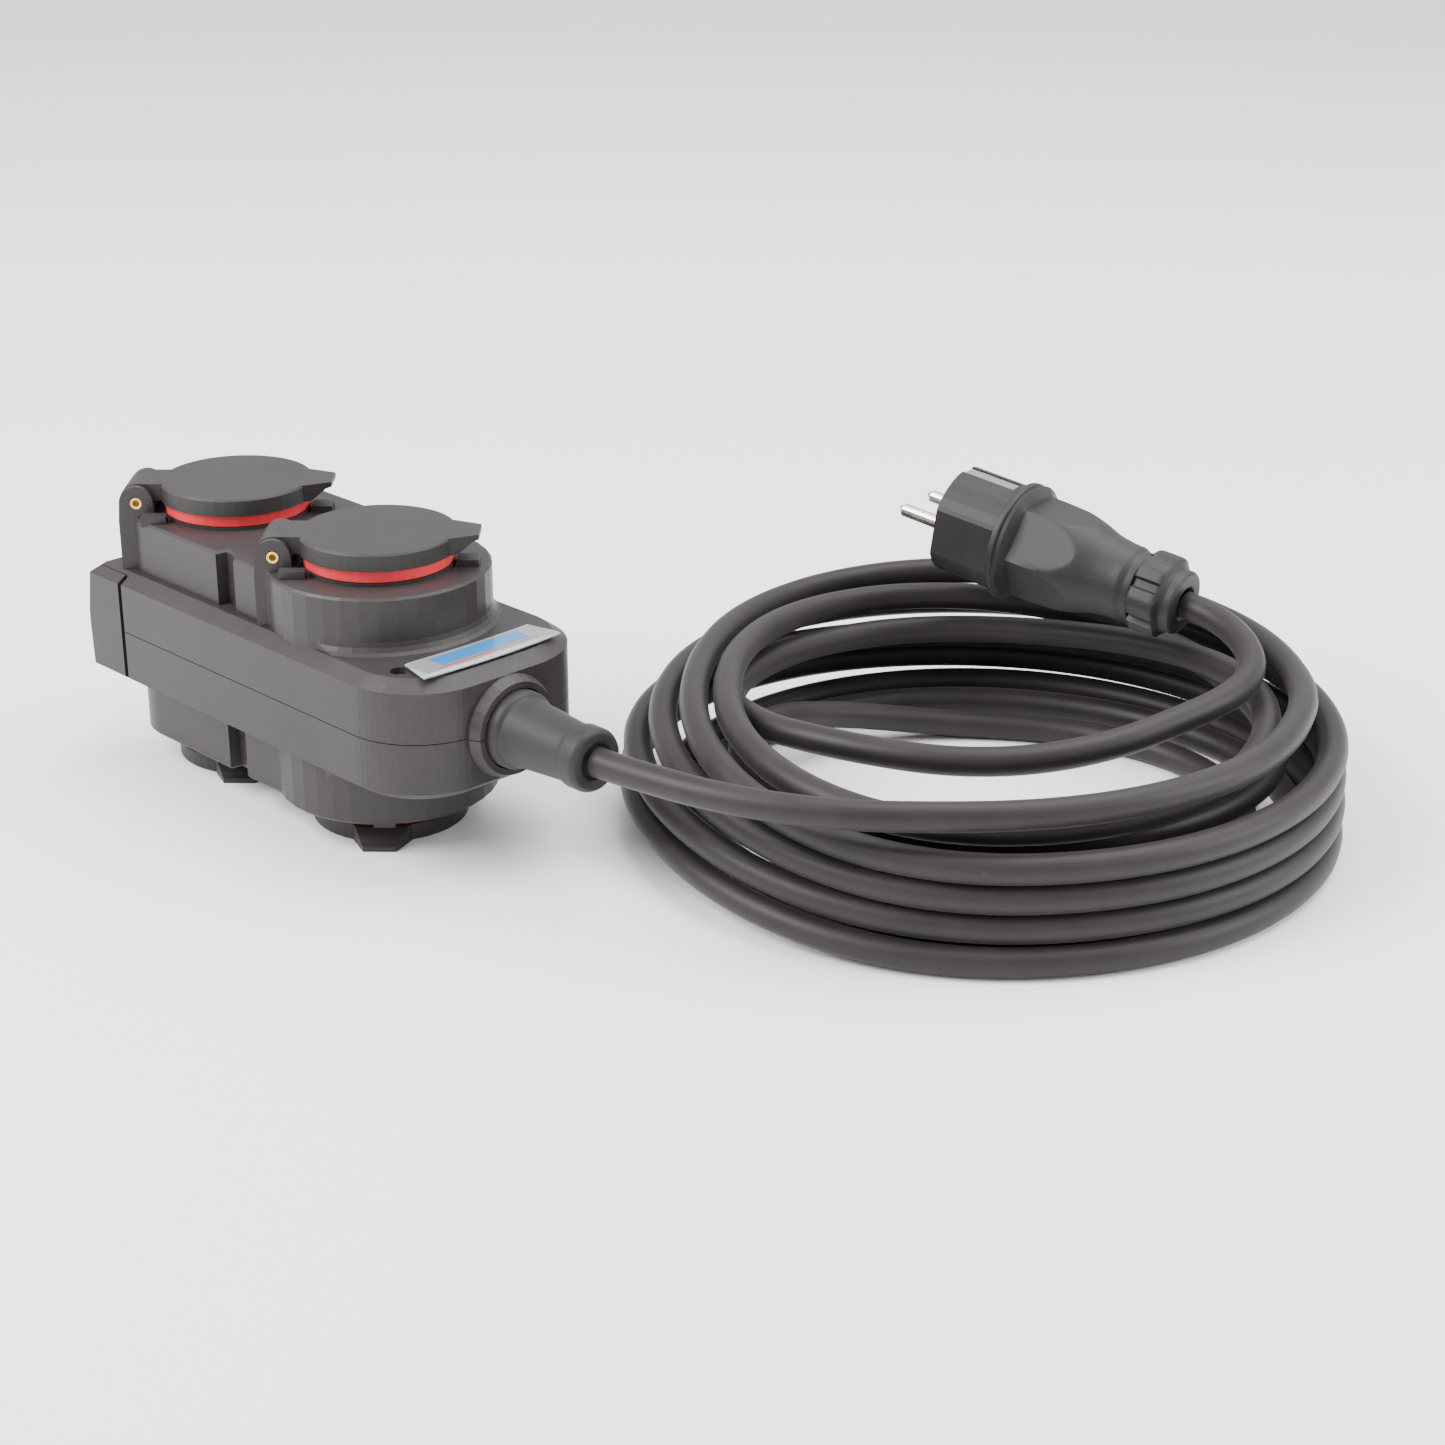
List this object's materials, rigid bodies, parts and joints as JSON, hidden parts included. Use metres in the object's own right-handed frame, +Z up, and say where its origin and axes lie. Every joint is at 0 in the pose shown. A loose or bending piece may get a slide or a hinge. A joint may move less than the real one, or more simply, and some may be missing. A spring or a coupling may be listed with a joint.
{
  "type": "portable power distribution box",
  "caption": "Black splash-proof socket box with sprung round lids above and below, red lid seals, a rubber kink boot and a coiled rubber lead with its plug.",
  "frame": {"origin": "bottom centre of the box itself, measured without its cord, boot and plug: in the plane of the lower lids' outer faces", "axes": "+Z up from the lower lids to the upper lids, +X along the box towards the end where the lead leaves it, +Y to the far long side, towards which the coil lies"},
  "size_m": [0.3763, 0.3014, 0.1],
  "materials": {
    "housing": "satin black moulded plastic",
    "end_cap": "satin black moulded plastic",
    "lid": "satin black, slightly softer moulding",
    "seal": "matt red",
    "gasket": "matt black",
    "boot": "matt black",
    "cable": "satin black rubber sheath",
    "plug": "satin black hard rubber",
    "clamp": "black",
    "label": "glossy foil under a clear face",
    "socket_insert": "black",
    "hinge_pin": "plain",
    "rail": "plain",
    "contact": "nickel plated",
    "spring": "plain wire",
    "screw": "zinc plated"
  },
  "bodies": {
    "housing": {"clamp_screw_left": "screw", "clamp_screw_right": "screw", "cord_clamp_bar": "clamp", "cord_clamp_base": "clamp", "cord_coil": "cable", "cord_lead": "cable", "cord_tail": "cable", "earth_clip_lower_front": "contact", "earth_clip_lower_rear": "contact", "earth_clip_upper_front": "contact", "earth_clip_upper_rear": "contact", "earth_rail": "rail", "end_cap": "end_cap", "hinge_pin_lower_front": "hinge_pin", "hinge_pin_lower_rear": "hinge_pin", "hinge_pin_upper_front": "hinge_pin", "hinge_pin_upper_rear": "hinge_pin", "kink_boot": "boot", "label_plate": "label", "lid_seal_lower_front": "seal", "lid_seal_lower_rear": "seal", "lid_seal_upper_front": "seal", "lid_seal_upper_rear": "seal", "lid_spring_lower_front": "spring", "lid_spring_lower_rear": "spring", "lid_spring_upper_front": "spring", "lid_spring_upper_rear": "spring", "live_rail": "rail", "lower_shell": "housing", "neutral_rail": "rail", "plug_earth_strip_left": "contact", "plug_earth_strip_right": "contact", "plug_grip": "plug", "plug_head": "plug", "plug_nut": "plug", "plug_pin_left": "contact", "plug_pin_right": "contact", "shell_gasket": "gasket", "shell_screw_lower": "screw", "shell_screw_upper": "screw", "socket_insert_lower_front": "socket_insert", "socket_insert_lower_rear": "socket_insert", "socket_insert_upper_front": "socket_insert", "socket_insert_upper_rear": "socket_insert", "terminal_screw_earth": "screw", "terminal_screw_live": "screw", "terminal_screw_neutral": "screw", "upper_shell": "housing"},
    "lid_upper_rear": {"lid_upper_rear": "lid"},
    "lid_upper_front": {"lid_upper_front": "lid"},
    "lid_lower_rear": {"lid_lower_rear": "lid"},
    "lid_lower_front": {"lid_lower_front": "lid"}
  },
  "joints": [
    {"name": "lid_upper_rear_hinge", "type": "hinge", "parent": "housing", "child": "lid_upper_rear", "pos_m": [-0.07794, -0.02319, 0.094], "axis": [0.7071, -0.7071, 0], "range_deg": [0, 115], "stiffness_Nm_per_rad": 0.012, "springref_deg": -51.57},
    {"name": "lid_upper_front_hinge", "type": "hinge", "parent": "housing", "child": "lid_upper_front", "pos_m": [0.00006, -0.02319, 0.094], "axis": [0.7071, -0.7071, 0], "range_deg": [0, 115], "stiffness_Nm_per_rad": 0.012, "springref_deg": -51.57},
    {"name": "lid_lower_rear_hinge", "type": "hinge", "parent": "housing", "child": "lid_lower_rear", "pos_m": [-0.07794, 0.02319, 0.006], "axis": [0.7071, 0.7071, 0], "range_deg": [0, 115], "stiffness_Nm_per_rad": 0.012, "springref_deg": -51.57},
    {"name": "lid_lower_front_hinge", "type": "hinge", "parent": "housing", "child": "lid_lower_front", "pos_m": [0.00006, 0.02319, 0.006], "axis": [0.7071, 0.7071, 0], "range_deg": [0, 115], "stiffness_Nm_per_rad": 0.012, "springref_deg": -51.57}
  ]
}
